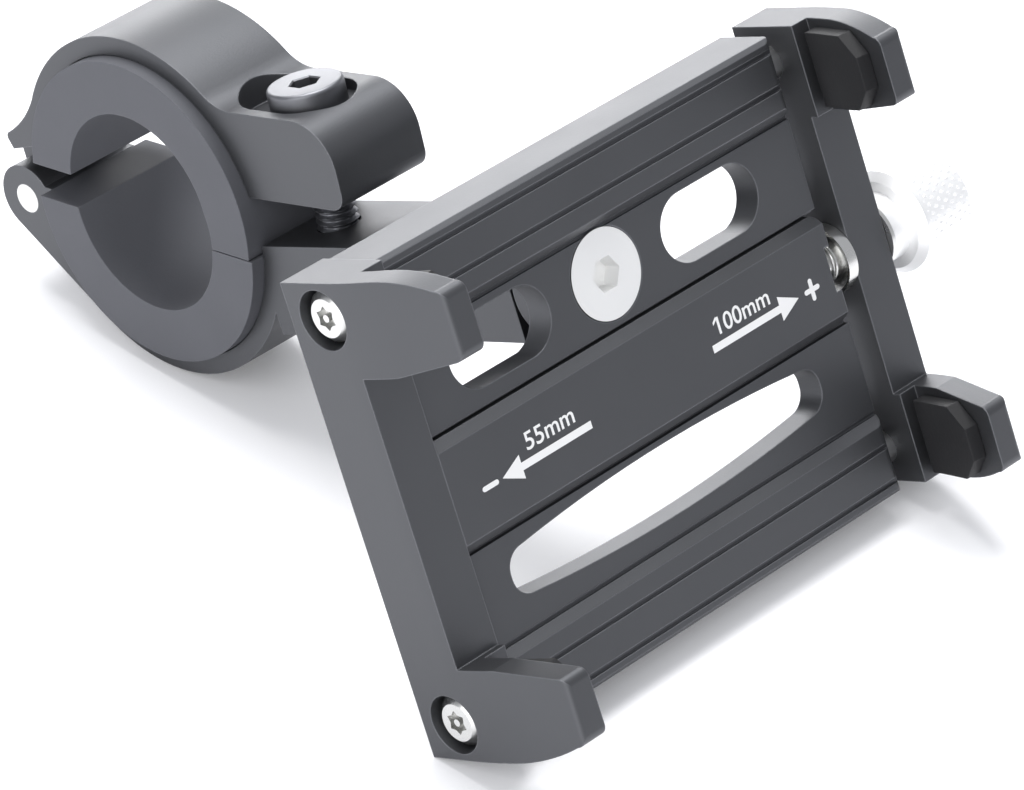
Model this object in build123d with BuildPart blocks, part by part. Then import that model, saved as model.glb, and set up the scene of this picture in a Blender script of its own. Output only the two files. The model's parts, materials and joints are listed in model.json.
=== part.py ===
from build123d import *
import math
import os

# Phone handlebar mount: a split ring clamp carries a cradle plate on a swivel screw. The left jaw is
# screwed to the plate. The right jaw slides on two rods and is driven by a knob and a lead screw.
#
# Millimetres. The origin lies on the handlebar's axis, in the middle of the clamp, +X along the bar
# and +Z up. The cradle leans back. Its own measures are a along X, b up along the jaws from the plate's
# centre line, and c out of the plate towards the phone, from the plane of the plate's back.

os.makedirs("parts", exist_ok=True)

# ---- how the clamp and the cradle stand to each other
lean = 25.3
clamp_rise = 21.65
clamp_reach = 56.8

# ---- clearances
running_gap = 0.08
sliding_gap = 0.05
side_gap = 0.2
seam_gap = 0.15
flange_gap = 0.1

# ---- handlebar clamp
bar_r = 11.1
liner_wall = 6.3
liner_gap = 0.1
liner_proud = 1.75
clamp_width = 13.0
clamp_wall = 2.2
split_tilt = 13.0
split_drop = 1.2
liner_heel_gap = 4.05
cap_open = 4.0

# ---- clamp hinge
hinge_rise = 1.6
hinge_reach = 22.3
hinge_pin_r = 1.75
knuckle_r = 4.1
tongue_r = 3.7
tongue_gap = 0.25
tongue_width = 5.8
ear_height = 6.1
ear_reach = 0.5
ear_angle = 48.0
ear_tip_r = 0.7

# ---- bolt lug of the cap, in a frame tilted with the lug about the bar's axis
lug_tilt = 10.0
lug_top = 12.4
lug_bottom = 2.25
lug_front = 33.0
lug_top_round = 5.5
lug_bottom_round = 2.0
lug_root_round = 6.0

# ---- clamp bolt, M5 button head
bolt_tilt = 6.1
bolt_r = 2.45
bolt_length = 20.0
bolt_head_r = 4.75
bolt_head_height = 2.75
bolt_hex = 3.0
bolt_hex_depth = 1.6
bolt_drop = 3.8
bolt_out = 23.1
bolt_travel = 3.5
pocket_width = 10.2
pocket_length = 14.6
pocket_shift = 0.6
pocket_depth = 1.6
lug_hole_width = 5.6
lug_hole_length = 7.0

# ---- neck of the clamp base
neck_height = 10.6

# ---- swivel between the neck and the cradle, M5 flat head
swivel_height = 12.5
swivel_r = 2.45
swivel_head_r = 5.0
swivel_length = 16.0
swivel_hex = 3.5
swivel_hex_depth = 2.2
washer_r = 6.0
washer_thick = 1.0
boss_r = 7.0

# ---- cradle plate
plate_left = -29.6
plate_right = 31.0
plate_height = 53.6
plate_depth = 8.2
rail_inner = 18.8
floor_front = 7.2
floor_thick = 3.4
rib_half = 7.2
plate_end_round = 1.2
rail_edge = 0.5
rail_outer_groove = 25.3
rail_inner_groove = 21.2
groove_width = 0.6
groove_depth = 0.35
foot_groove_width = 0.5

slot_length = 15.0
slot_width = 7.8
slot_offset = 16.3
window_half = 24.4
window_top = -7.4
window_low = -15.2
window_bow = 1.5
window_end_round = 2.4

# ---- strip over the lead screw
cover_top_half = 5.2
cover_half = 6.3
cover_gap = 0.45
cover_right = 30.5
cover_end_round = 1.0
cover_screw_r = 1.0
cover_screw_head_r = 1.9
cover_screw_places = (-22.0, 14.0)
cover_screw_side = 4.7
cover_screw_tip = 6.6
cover_screw_spare = 0.2

# ---- lead screw and its nut
screw_depth = 4.8
screw_r = 2.45
screw_left = -25.0
tunnel_gap = 0.35
nut_length = 9.0
nut_width = 8.0
nut_height = 5.4
nut_from_end = 2.6

# ---- jaws
jaw_height = 54.0
jaw_depth = 8.2
fixed_outer = -35.85
sliding_inner = 33.4
sliding_outer = 39.05
hook_width = 10.6
hook_wall = 3.1
hook_root = 9.2
hook_straight = 6.0
hook_radius = 40.0
hook_turn = 12.0
hook_top = 21.75
hook_tip_round = 0.6
hook_corner = 1.1
hook_slant = 1.6
hook_low_slant = 1.2
slant_start = 13.0
slant_bow = 0.27

# ---- rubber pads
pad_thick = 1.7
pad_gap = 0.05
pad_margin = 1.0
pad_corner = 2.4
pad_start = 1.4
pad_end = 2.0

# ---- screws of the fixed jaw, M3 pan head
jaw_screw_side = 22.9
jaw_screw_depth = 4.9
jaw_screw_r = 1.45
jaw_screw_head_r = 2.9
jaw_screw_head = 1.9
jaw_screw_length = 8.0
counterbore_r = 3.35
counterbore_depth = 2.4
star_r = 1.4
star_inner_r = 1.0
star_pin_r = 0.42
head_edge = 0.75
screw_spare = 0.4
star_depth = 1.1

# ---- guide rods
rod_side = 22.85
rod_depth = 4.1
rod_r = 2.0
rod_left = -20.5
rod_seat = 4.0
jaw_close = 2.0
rod_spare = 0.7

# ---- knob and collar on the lead screw
collar_r = 4.05
collar_thick = 1.45
collar_recess = 1.3
collar_rim = 0.35
bush_r = 4.2
bush_thick = 0.5
hub_r = 4.0
hub_length = 2.4
flange_r = 6.1
flange_thick = 1.0
drum_r = 5.9
drum_length = 8.05
drum_step = 0.8
knob_end_wall = 1.0
knob_pin_r = 0.75
knob_pin_inset = 0.4


# ---- planes
lean_angle = math.radians(lean)
up = Vector(0, math.sin(lean_angle), math.cos(lean_angle))
out = Vector(0, -math.cos(lean_angle), math.sin(lean_angle))
across = Vector(1, 0, 0)
cradle_centre = out * clamp_reach - up * clamp_rise


def section(a=0.0):
    """A plane square to the bar at a, with b and c as its own x and y."""
    return Plane(origin=cradle_centre + across * a, x_dir=up, z_dir=across)


def face(c=0.0):
    """A plane parallel to the plate at c, with a and b as its own x and y."""
    return Plane(origin=cradle_centre + out * c, x_dir=across, z_dir=out)


def level(b=0.0):
    """A plane square to the jaws at b, with a and c as its own x and y."""
    return Plane(origin=cradle_centre + up * b, x_dir=across, z_dir=up * -1)


def turned(plane, angle):
    """The same plane with its x and y turned about its normal, in degrees."""
    turn = math.radians(angle)
    return Plane(origin=plane.origin, x_dir=plane.x_dir * math.cos(turn) + plane.y_dir * math.sin(turn),
                 z_dir=plane.z_dir)


def finish(piece, name):
    """Label a finished piece and write its STEP file."""
    piece.part.label = name
    export_step(piece.part, f"parts/{name}.step")


# The clamp is drawn from the bar's axis: x is along the jaws, y towards the plate.
clamp_plane = Plane(origin=(0, 0, 0), x_dir=up, z_dir=across)
split_plane = turned(clamp_plane, split_tilt)
pin_place = (hinge_rise, -hinge_reach)

# The cap stands open, so its own plane is turned about the hinge pin. It reads like the closed clamp.
open_angle = math.radians(cap_open)
pin_point = clamp_plane.from_local_coords(Vector(*pin_place))
cap_up = up * math.cos(open_angle) - out * math.sin(open_angle)
cap_out = out * math.cos(open_angle) + up * math.sin(open_angle)
cap_centre = pin_point - cap_up * hinge_rise + cap_out * hinge_reach
cap_plane = Plane(origin=cap_centre, x_dir=cap_up, z_dir=across)
lug_plane = turned(cap_plane, lug_tilt)

# ---- sizes that several pieces share
clamp_ir = bar_r + liner_wall + liner_gap
liner_r = bar_r + liner_wall
clamp_r = clamp_ir + clamp_wall
half_width = clamp_width / 2
liner_half = half_width + liner_proud
neck_front = -washer_thick
floor_back = floor_front - floor_thick
rail_foot = rail_inner - (plate_depth - floor_front)
plate_length = plate_right - plate_left
half_plate = plate_height / 2
half_jaw = jaw_height / 2
hook_low = half_jaw - hook_width
shoulder = hook_top - hook_corner
corner_bow = hook_corner * (1 - math.cos(math.pi / 4))
swivel_reach = swivel_length - floor_front
fixed_thick = plate_left - fixed_outer
jaw_screw_reach = jaw_screw_length - (fixed_thick - counterbore_depth)
nut_left = plate_right - nut_from_end - nut_length
cover_spots = [(a, side * cover_screw_side) for a in cover_screw_places for side in (-1, 1)]
rod_spots = [(-rod_side, rod_depth), (rod_side, rod_depth)]
jaw_screw_spots = [(-jaw_screw_side, jaw_screw_depth), (jaw_screw_side, jaw_screw_depth)]
big = 120.0

# ---- the clamp bolt: its axis starts at bolt_foot, and seats are distances up from there
bolt_angle = math.radians(bolt_tilt)
lug_angle = math.radians(lug_tilt)
bolt_up = up * math.cos(bolt_angle) + out * math.sin(bolt_angle)
bolt_foot = out * bolt_out - up * bolt_drop
foot_in_lug = bolt_out * math.sin(lug_angle) - bolt_drop * math.cos(lug_angle)
lug_top_height = (lug_top - foot_in_lug) / math.cos(lug_angle - bolt_angle)
pocket_height = lug_top_height - pocket_depth
seat_height = pocket_height + sliding_gap + bolt_travel
bolt_seat = Plane(origin=bolt_foot + bolt_up * seat_height, x_dir=across, z_dir=bolt_up)

cap_bolt_up = cap_up * math.cos(bolt_angle) + cap_out * math.sin(bolt_angle)
cap_bolt_foot = cap_centre + cap_out * bolt_out - cap_up * bolt_drop
pocket_plane = Plane(origin=cap_bolt_foot + cap_bolt_up * pocket_height, x_dir=across, z_dir=cap_bolt_up)


# ---- handlebar clamp
def make_clamp_base():
    """Lower half ring with its hinge fork, and the neck that carries the cradle."""
    distance = math.hypot(hinge_rise, hinge_reach)
    blend = math.atan2(-hinge_reach, hinge_rise) - math.acos((clamp_r - knuckle_r) / distance)
    blend_x = math.cos(blend)
    blend_y = math.sin(blend)
    neck_low = swivel_height - clamp_rise - neck_height / 2
    neck_high = neck_low + neck_height
    neck_end = clamp_reach + neck_front
    with BuildPart() as clamp_base:
        with BuildSketch(split_plane):
            Circle(clamp_r)
            with Locations((-split_drop, 0)):
                Rectangle(big, big, align=(Align.MAX, Align.CENTER), mode=Mode.INTERSECT)
        extrude(amount=half_width, both=True)
        with BuildSketch(clamp_plane):
            with Locations(pin_place):
                Circle(knuckle_r)
            with BuildLine():
                Polyline(pin_place,
                         (hinge_rise + knuckle_r * blend_x, -hinge_reach + knuckle_r * blend_y),
                         (clamp_r * blend_x, clamp_r * blend_y),
                         (0, 0),
                         pin_place)
            make_face()
        extrude(amount=half_width, both=True)
        with BuildSketch(clamp_plane):
            with Locations((neck_low, neck_end)):
                Rectangle(neck_height, neck_end - clamp_ir * 0.9, align=(Align.MIN, Align.MAX))
        extrude(amount=half_width, both=True)
        with BuildSketch(clamp_plane):
            Circle(clamp_ir)
        extrude(amount=half_width, both=True, mode=Mode.SUBTRACT)
        with BuildSketch(clamp_plane):
            with Locations(pin_place):
                Circle(tongue_r + tongue_gap)
                Rectangle(2 * knuckle_r, 2 * tongue_r, align=(Align.MIN, Align.CENTER))
                with Locations((0, -tongue_r)):
                    Rectangle(2 * knuckle_r, 2 * knuckle_r, align=(Align.MIN, Align.CENTER))
        extrude(amount=tongue_width / 2 + side_gap, both=True, mode=Mode.SUBTRACT)
        with BuildSketch(clamp_plane):
            with Locations(pin_place):
                Circle(hinge_pin_r)
        extrude(amount=half_width, both=True, mode=Mode.SUBTRACT)
        with BuildSketch(face(neck_front)):
            with Locations((0, swivel_height)):
                Circle(swivel_r + sliding_gap)
        extrude(amount=-(swivel_reach + 1.0), mode=Mode.SUBTRACT)
        with BuildSketch(bolt_seat):
            Circle(bolt_r + sliding_gap)
        extrude(amount=-(bolt_length + neck_height), mode=Mode.SUBTRACT)
    return clamp_base


def make_clamp_cap():
    """Upper half ring with its bolt lug, the lifting ear and the hinge tongue."""
    ear_bottom = hinge_rise + ear_height
    ear_root = math.radians(ear_angle)
    ring_point = (clamp_r * math.cos(ear_root), -clamp_r * math.sin(ear_root))
    tip = (ear_bottom + 1.9, ear_reach - hinge_reach)
    bow = ((ring_point[0] + tip[0]) / 2 - 0.35, (ring_point[1] + tip[1]) / 2 + 0.55)
    tongue = [(hinge_rise + x, y - hinge_reach) for x, y in (
        (0, -tongue_r * 0.8), (ear_height + 0.5, -tongue_r * 0.6), (ear_height + 0.5, tongue_r * 1.2),
        (tongue_r * 0.9, tongue_r * 1.1), (tongue_r * 0.25, tongue_r * 0.7), (0, -tongue_r * 0.8))]
    with BuildPart() as clamp_cap:
        with BuildSketch(lug_plane):
            with Locations((lug_bottom, 0)):
                Rectangle(lug_top - lug_bottom, lug_front, align=(Align.MIN, Align.MIN))
            fillet(vertices().sort_by_distance((lug_top, lug_front))[0], lug_top_round)
            fillet(vertices().sort_by_distance((lug_bottom, lug_front))[0], lug_bottom_round)
            Circle(clamp_r)
            root = (lug_top, math.sqrt(clamp_r**2 - lug_top**2))
            fillet(vertices().sort_by_distance(root)[0], lug_root_round)
            with Locations((lug_bottom, 0)):
                Rectangle(big, big, align=(Align.MAX, Align.CENTER), mode=Mode.SUBTRACT)
        extrude(amount=half_width, both=True)
        with BuildSketch(cap_plane):
            with Locations((ear_bottom, 0)):
                Rectangle(big, big, align=(Align.MAX, Align.MAX))
        extrude(amount=half_width, both=True, mode=Mode.SUBTRACT)
        with BuildSketch(cap_plane):
            with BuildLine():
                ThreePointArc(ring_point, bow, tip)
                Polyline(tip, (ear_bottom, ear_reach + 0.5 - hinge_reach), (ear_bottom, -clamp_ir * 0.8),
                         ring_point)
            make_face()
            fillet(vertices().sort_by_distance(tip)[0], ear_tip_r)
        extrude(amount=half_width, both=True)
        with BuildSketch(cap_plane):
            with Locations(pin_place):
                Circle(tongue_r)
            with BuildLine():
                Polyline(*tongue)
            make_face()
        extrude(amount=tongue_width / 2, both=True)
        with BuildSketch(cap_plane):
            Circle(clamp_ir)
            with Locations(pin_place):
                Circle(hinge_pin_r + running_gap)
        extrude(amount=half_width, both=True, mode=Mode.SUBTRACT)
        with BuildSketch(pocket_plane):
            with Locations((0, pocket_shift)):
                SlotOverall(pocket_length, pocket_width, rotation=90)
        extrude(amount=big / 4, mode=Mode.SUBTRACT)
        with BuildSketch(pocket_plane):
            SlotOverall(lug_hole_length, lug_hole_width, rotation=90)
        extrude(amount=-big / 4, mode=Mode.SUBTRACT)
    return clamp_cap


def make_hinge_pin():
    with BuildPart() as hinge_pin:
        with BuildSketch(clamp_plane):
            with Locations(pin_place):
                Circle(hinge_pin_r)
        extrude(amount=half_width, both=True)
    return hinge_pin


def make_clamp_bolt():
    """M5 button head with a hexagon socket."""
    with BuildPart() as clamp_bolt:
        with BuildSketch(bolt_seat):
            Circle(bolt_r)
        extrude(amount=-bolt_length)
        with BuildSketch(bolt_seat):
            Circle(bolt_head_r)
        extrude(amount=bolt_head_height)
        crown = clamp_bolt.edges().sort_by(Axis(bolt_seat.origin, bolt_seat.z_dir))[-1]
        fillet(crown, bolt_head_height * 0.45)
        with BuildSketch(bolt_seat.offset(bolt_head_height)):
            RegularPolygon(bolt_hex / 2, 6, major_radius=False)
        extrude(amount=-bolt_hex_depth, mode=Mode.SUBTRACT)
    return clamp_bolt


def make_liner_lower():
    with BuildPart() as liner_lower:
        with BuildSketch(split_plane):
            Circle(liner_r)
            Circle(bar_r, mode=Mode.SUBTRACT)
            with Locations((-split_drop, 0)):
                Rectangle(big, big, align=(Align.MAX, Align.CENTER), mode=Mode.INTERSECT)
        extrude(amount=liner_half, both=True)
    return liner_lower


def make_liner_upper():
    """The half that lies in the open cap. It has slipped round, so its heel stands off the lower half."""
    centre = split_plane.to_local_coords(cap_centre)
    seam = -split_drop + seam_gap
    with BuildPart() as liner_upper:
        with BuildSketch(split_plane):
            with Locations((centre.X, centre.Y)):
                Circle(liner_r)
                Circle(bar_r, mode=Mode.SUBTRACT)
            with Locations((seam, 0)):
                Rectangle(big, big, align=(Align.MIN, Align.CENTER), mode=Mode.INTERSECT)
                Rectangle(liner_heel_gap - seam_gap, big, align=(Align.MIN, Align.MAX), mode=Mode.SUBTRACT)
            Circle(bar_r + sliding_gap, mode=Mode.SUBTRACT)
        extrude(amount=liner_half, both=True)
    return liner_upper


# ---- swivel
def make_swivel_screw():
    """M5 flat head, flush with the plate's floor, screwed into the neck."""
    with BuildPart() as swivel_screw:
        with BuildSketch(face(floor_front)):
            with Locations((0, swivel_height)):
                Circle(swivel_r)
        extrude(amount=-swivel_length)
        with BuildSketch(face(floor_front)):
            with Locations((0, swivel_height)):
                Circle(swivel_head_r)
        extrude(amount=-(swivel_head_r - swivel_r), taper=45)
        with BuildSketch(face(floor_front)):
            with Locations((0, swivel_height)):
                RegularPolygon(swivel_hex / 2, 6, major_radius=False)
        extrude(amount=-swivel_hex_depth, mode=Mode.SUBTRACT)
    return swivel_screw


def make_swivel_washer():
    with BuildPart() as swivel_washer:
        with BuildSketch(face(neck_front)):
            with Locations((0, swivel_height)):
                Circle(washer_r)
                Circle(swivel_r + sliding_gap, mode=Mode.SUBTRACT)
        extrude(amount=washer_thick)
    return swivel_washer


# ---- cradle plate
def make_cradle_plate():
    """The plate: two deep rails, a thin floor with slots, and a rib with the tunnel of the lead screw."""
    with BuildPart() as cradle_plate:
        with BuildSketch(section(plate_left)):
            with BuildLine():
                Polyline((0, 0), (rib_half, 0), (rib_half, floor_back), (rail_foot, floor_back),
                         (rail_foot, 0), (half_plate - rail_edge, 0), (half_plate, rail_edge),
                         (half_plate, plate_depth - rail_edge), (half_plate - rail_edge, plate_depth),
                         (rail_inner, plate_depth), (rail_foot, floor_front), (0, floor_front), (0, 0))
            make_face()
            mirror(about=Plane.YZ)
        extrude(amount=plate_length)
        with BuildSketch(face(0)):
            with Locations((0, swivel_height)):
                Circle(boss_r)
        extrude(amount=floor_back)
        with BuildSketch(section(plate_left)):
            with Locations((0, screw_depth)):
                Rectangle(2 * (cover_half + sliding_gap), big, align=(Align.CENTER, Align.MIN))
            with Locations((0, floor_front - groove_depth * 2)):
                Rectangle(2 * (cover_half + cover_gap), big, align=(Align.CENTER, Align.MIN))
            with Locations((0, screw_depth)):
                Circle(screw_r + tunnel_gap)
            for side in (-1, 1):
                with Locations((side * rail_outer_groove, plate_depth),
                               (side * rail_inner_groove, plate_depth)):
                    Rectangle(groove_width, 2 * groove_depth)
                with Locations((side * (rail_foot - foot_groove_width / 2), floor_front)):
                    Rectangle(foot_groove_width, 2 * groove_depth)
        extrude(amount=plate_length, mode=Mode.SUBTRACT)
        with BuildSketch(face(0)):
            with Locations((-slot_offset, swivel_height), (slot_offset, swivel_height)):
                SlotOverall(slot_length, slot_width)
            with BuildLine():
                corner_top = window_top - window_bow
                corner_low = window_low + window_bow
                ThreePointArc((-window_half, corner_top), (0, window_top), (window_half, corner_top))
                Line((window_half, corner_top), (window_half, corner_low))
                ThreePointArc((window_half, corner_low), (0, window_low), (-window_half, corner_low))
                Line((-window_half, corner_low), (-window_half, corner_top))
            make_face()
            ends = [v for v in vertices() if abs(abs(v.X) - window_half) < 0.01]
            fillet(ends, window_end_round)
        extrude(amount=plate_depth, mode=Mode.SUBTRACT)
        with BuildSketch(face(0)):
            with Locations((0, swivel_height)):
                Circle(swivel_r + flange_gap)
        extrude(amount=plate_depth, mode=Mode.SUBTRACT)
        with BuildSketch(face(floor_front)):
            with Locations((0, swivel_height)):
                Circle(swivel_head_r + flange_gap * 1.5)
        extrude(amount=-(swivel_head_r - swivel_r), taper=45, mode=Mode.SUBTRACT)
        with BuildSketch(section(plate_right)):
            with Locations(*rod_spots):
                Circle(rod_r + sliding_gap)
        extrude(amount=-(plate_right - rod_left + jaw_close + rod_spare), mode=Mode.SUBTRACT)
        with BuildSketch(section(plate_left)):
            with Locations(*jaw_screw_spots):
                Circle(jaw_screw_r + sliding_gap)
        extrude(amount=jaw_screw_reach + screw_spare, mode=Mode.SUBTRACT)
        with BuildSketch(section(nut_left)):
            with Locations((0, screw_depth)):
                Rectangle(nut_width + 2 * sliding_gap, nut_height + 2 * sliding_gap)
        extrude(amount=nut_length, mode=Mode.SUBTRACT)
        with BuildSketch(section(plate_right)):
            with Locations((0, screw_depth)):
                Circle(collar_r + side_gap)
        extrude(amount=-collar_recess, mode=Mode.SUBTRACT)
        with BuildSketch(face(0)):
            with Locations(*cover_spots):
                Circle(cover_screw_r + sliding_gap)
        extrude(amount=screw_depth, mode=Mode.SUBTRACT)
        with BuildSketch(face(0)):
            with Locations(*cover_spots):
                Circle(cover_screw_head_r)
        extrude(amount=cover_screw_head_r - cover_screw_r, taper=45, mode=Mode.SUBTRACT)
        with BuildSketch(level(half_plate)):
            with Locations((plate_right - plate_end_round / 2, plate_depth - plate_end_round / 2)):
                Rectangle(plate_end_round, plate_end_round)
            with Locations((plate_right - plate_end_round, plate_depth - plate_end_round)):
                Circle(plate_end_round, mode=Mode.SUBTRACT)
        extrude(amount=plate_height, mode=Mode.SUBTRACT)
    return cradle_plate


def make_screw_cover():
    """The raised strip. Its underside holds the upper half of the tunnel."""
    with BuildPart() as screw_cover:
        with BuildSketch(section(plate_left)):
            with BuildLine():
                Polyline((0, screw_depth), (cover_half, screw_depth), (cover_half, floor_front),
                         (cover_top_half, plate_depth), (0, plate_depth), (0, screw_depth))
            make_face()
            mirror(about=Plane.YZ)
        extrude(amount=cover_right - plate_left)
        corners = screw_cover.edges().filter_by(Axis((0, 0, 0), out)).sort_by(Axis.X)[-2:]
        fillet(corners, cover_end_round)
        with BuildSketch(section(plate_left)):
            with Locations((0, screw_depth)):
                Circle(screw_r + tunnel_gap)
        extrude(amount=plate_length, mode=Mode.SUBTRACT)
        with BuildSketch(section(nut_left)):
            with Locations((0, screw_depth)):
                Rectangle(nut_width + 2 * sliding_gap, nut_height + 2 * sliding_gap)
        extrude(amount=nut_length, mode=Mode.SUBTRACT)
        with BuildSketch(section(plate_right)):
            with Locations((0, screw_depth)):
                Circle(collar_r + side_gap)
        extrude(amount=-collar_recess, mode=Mode.SUBTRACT)
        with BuildSketch(face(screw_depth)):
            with Locations(*cover_spots):
                Circle(cover_screw_r)
        extrude(amount=cover_screw_tip - screw_depth + cover_screw_spare, mode=Mode.SUBTRACT)
    return screw_cover


def make_cover_screws():
    """Four countersunk screws that hold the strip from the plate's back."""
    with BuildPart() as cover_screws:
        with BuildSketch(face(0)):
            with Locations(*cover_spots):
                Circle(cover_screw_r)
        extrude(amount=cover_screw_tip)
        with BuildSketch(face(0)):
            with Locations(*cover_spots):
                Circle(cover_screw_head_r)
        extrude(amount=cover_screw_head_r - cover_screw_r, taper=45)
        with BuildSketch(face(0)):
            with Locations(*cover_spots):
                RegularPolygon(cover_screw_r * 0.6, 6)
        extrude(amount=cover_screw_r * 0.8, mode=Mode.SUBTRACT)
    return cover_screws


def make_lead_nut():
    with BuildPart() as lead_nut:
        with BuildSketch(section(nut_left)):
            with Locations((0, screw_depth)):
                Rectangle(nut_width, nut_height)
                Circle(screw_r + sliding_gap, mode=Mode.SUBTRACT)
        extrude(amount=nut_length)
    return lead_nut


# ---- jaws
def hook_line(inward, distance):
    """A point on a hook's wall line: inward from the outer face, at a distance along the wall.

    The wall line runs straight, then turns on an arc about a centre on the phone's side, then runs
    straight to the tip. Distances along the arc are those of the outer face.
    """
    turn = math.radians(hook_turn)
    radius = hook_radius - inward
    bend = min(max(distance / hook_radius, 0.0), turn)
    past = max(distance - hook_radius * turn, 0.0)
    x = hook_radius - radius * math.cos(bend) + past * math.sin(bend)
    y = hook_straight + radius * math.sin(bend) + past * math.cos(bend)
    return (x, y + min(distance, 0.0))


hook_arc = hook_radius * math.radians(hook_turn)
bar_distance = hook_radius * math.asin((jaw_depth - hook_straight) / hook_radius)
root_distance = hook_radius * math.asin((hook_root - hook_straight) / (hook_radius - hook_wall))
hook_end = hook_arc + (hook_top - hook_line(0, hook_arc)[1]) / math.cos(math.radians(hook_turn))


def place(outer, inner, point):
    """Turn (inward, c) into (a, c) for a jaw whose outer face lies at outer."""
    sign = 1 if inner > outer else -1
    return (outer + sign * point[0], point[1])


def make_jaw(outer, inner):
    """A bar with a curved hook at each end, without its holes."""
    thick = abs(inner - outer)
    slope = math.radians(hook_turn)
    inner_end = hook_line(hook_wall, hook_end)
    trim = (inner_end[1] - hook_top) / math.cos(slope)
    tip_out = hook_line(0, hook_end)
    tip_in = hook_line(hook_wall, hook_end - trim)
    root_in = hook_line(hook_wall, root_distance)
    bar_corner = hook_line(0, bar_distance)

    def at(point):
        return place(outer, inner, point)

    with BuildPart() as jaw:
        with BuildSketch(level(0)):
            with BuildLine():
                Polyline(at((0, hook_straight)), at((0, 0)), at((thick, 0)), at((thick, jaw_depth)),
                         at(bar_corner))
                ThreePointArc(at(bar_corner), at(hook_line(0, bar_distance / 2)), at((0, hook_straight)))
            make_face()
        extrude(amount=half_jaw, both=True)
        for end, inward in ((half_jaw, hook_width), (-half_jaw, -hook_width)):
            with BuildSketch(level(end)):
                with BuildLine():
                    Polyline(at((0, hook_straight)), at((0, 0)), at((thick, 0)), at((thick, hook_root)),
                             at(root_in))
                    ThreePointArc(at(root_in), at(hook_line(hook_wall, (root_distance + hook_arc) / 2)),
                                  at(hook_line(hook_wall, hook_arc)))
                    Polyline(at(hook_line(hook_wall, hook_arc)), at(tip_in), at(tip_out),
                             at(hook_line(0, hook_arc)))
                    ThreePointArc(at(hook_line(0, hook_arc)), at(hook_line(0, hook_arc / 2)),
                                  at((0, hook_straight)))
                make_face()
                fillet(vertices().sort_by_distance(at(tip_out))[0], hook_tip_round)
            extrude(amount=inward)
        with BuildSketch(section(outer)):
            for side in (-1, 1):
                with Locations((side * (half_jaw - hook_width / 2), hook_root)):
                    Rectangle(2 * hook_width, big, align=(Align.CENTER, Align.MIN))
                with BuildLine():
                    Polyline(*((side * b, c) for b, c in (
                        (hook_low + hook_low_slant, shoulder), (hook_low, slant_start), (hook_low, 0),
                        (half_jaw, 0), (half_jaw, slant_start))))
                    ThreePointArc((side * half_jaw, slant_start),
                                  (side * (half_jaw - hook_slant * slant_bow), (slant_start + shoulder) / 2),
                                  (side * (half_jaw - hook_slant), shoulder))
                    ThreePointArc((side * (half_jaw - hook_slant), shoulder),
                                  (side * (half_jaw - hook_slant - corner_bow), hook_top - corner_bow),
                                  (side * (half_jaw - hook_slant - hook_corner), hook_top))
                    Line((side * (half_jaw - hook_slant - hook_corner), hook_top),
                         (side * (hook_low + hook_low_slant + hook_corner), hook_top))
                    ThreePointArc((side * (hook_low + hook_low_slant + hook_corner), hook_top),
                                  (side * (hook_low + hook_low_slant + corner_bow), hook_top - corner_bow),
                                  (side * (hook_low + hook_low_slant), shoulder))
                make_face(mode=Mode.SUBTRACT)
        extrude(amount=big, both=True, mode=Mode.SUBTRACT)
    return jaw


def make_fixed_jaw():
    with BuildPart() as fixed_jaw:
        add(make_jaw(fixed_outer, plate_left).part)
        with BuildSketch(section(fixed_outer)):
            with Locations(*jaw_screw_spots):
                Circle(counterbore_r)
        extrude(amount=counterbore_depth, mode=Mode.SUBTRACT)
        with BuildSketch(section(fixed_outer)):
            with Locations(*jaw_screw_spots):
                Circle(jaw_screw_r + flange_gap)
        extrude(amount=fixed_thick, mode=Mode.SUBTRACT)
    return fixed_jaw


def make_fixed_jaw_screws():
    """Two pan-head screws with a pin-in-star recess."""
    seat = section(fixed_outer + counterbore_depth)
    star = []
    for point in range(12):
        radius = star_inner_r if point % 2 else star_r
        angle = math.radians(30 * point)
        star.append((radius * math.cos(angle), radius * math.sin(angle)))
    with BuildPart() as fixed_jaw_screws:
        with BuildSketch(seat):
            with Locations(*jaw_screw_spots):
                Circle(jaw_screw_head_r)
        extrude(amount=-jaw_screw_head)
        rims = fixed_jaw_screws.edges().group_by(Axis.X)[0]
        chamfer(rims, head_edge)
        with BuildSketch(seat):
            with Locations(*jaw_screw_spots):
                Circle(jaw_screw_r)
        extrude(amount=jaw_screw_length)
        with BuildSketch(seat.offset(-jaw_screw_head)):
            with Locations(*jaw_screw_spots):
                Polygon(*star)
                Circle(star_pin_r, mode=Mode.SUBTRACT)
        extrude(amount=star_depth, mode=Mode.SUBTRACT)
    return fixed_jaw_screws


def make_sliding_jaw():
    thick = sliding_outer - sliding_inner
    with BuildPart() as sliding_jaw:
        add(make_jaw(sliding_outer, sliding_inner).part)
        with BuildSketch(section(sliding_inner)):
            with Locations((0, screw_depth)):
                Circle(screw_r + flange_gap)
        extrude(amount=thick, mode=Mode.SUBTRACT)
        with BuildSketch(section(sliding_inner)):
            with Locations(*rod_spots):
                Circle(rod_r)
        extrude(amount=rod_seat, mode=Mode.SUBTRACT)
    return sliding_jaw


def make_guide_rod(side):
    with BuildPart() as guide_rod:
        with BuildSketch(section(rod_left)):
            with Locations((side * rod_side, rod_depth)):
                Circle(rod_r)
        extrude(amount=sliding_inner + rod_seat - rod_left)
        chamfer(guide_rod.edges().group_by(Axis.X)[0], rod_r * 0.2)
    return guide_rod


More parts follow.
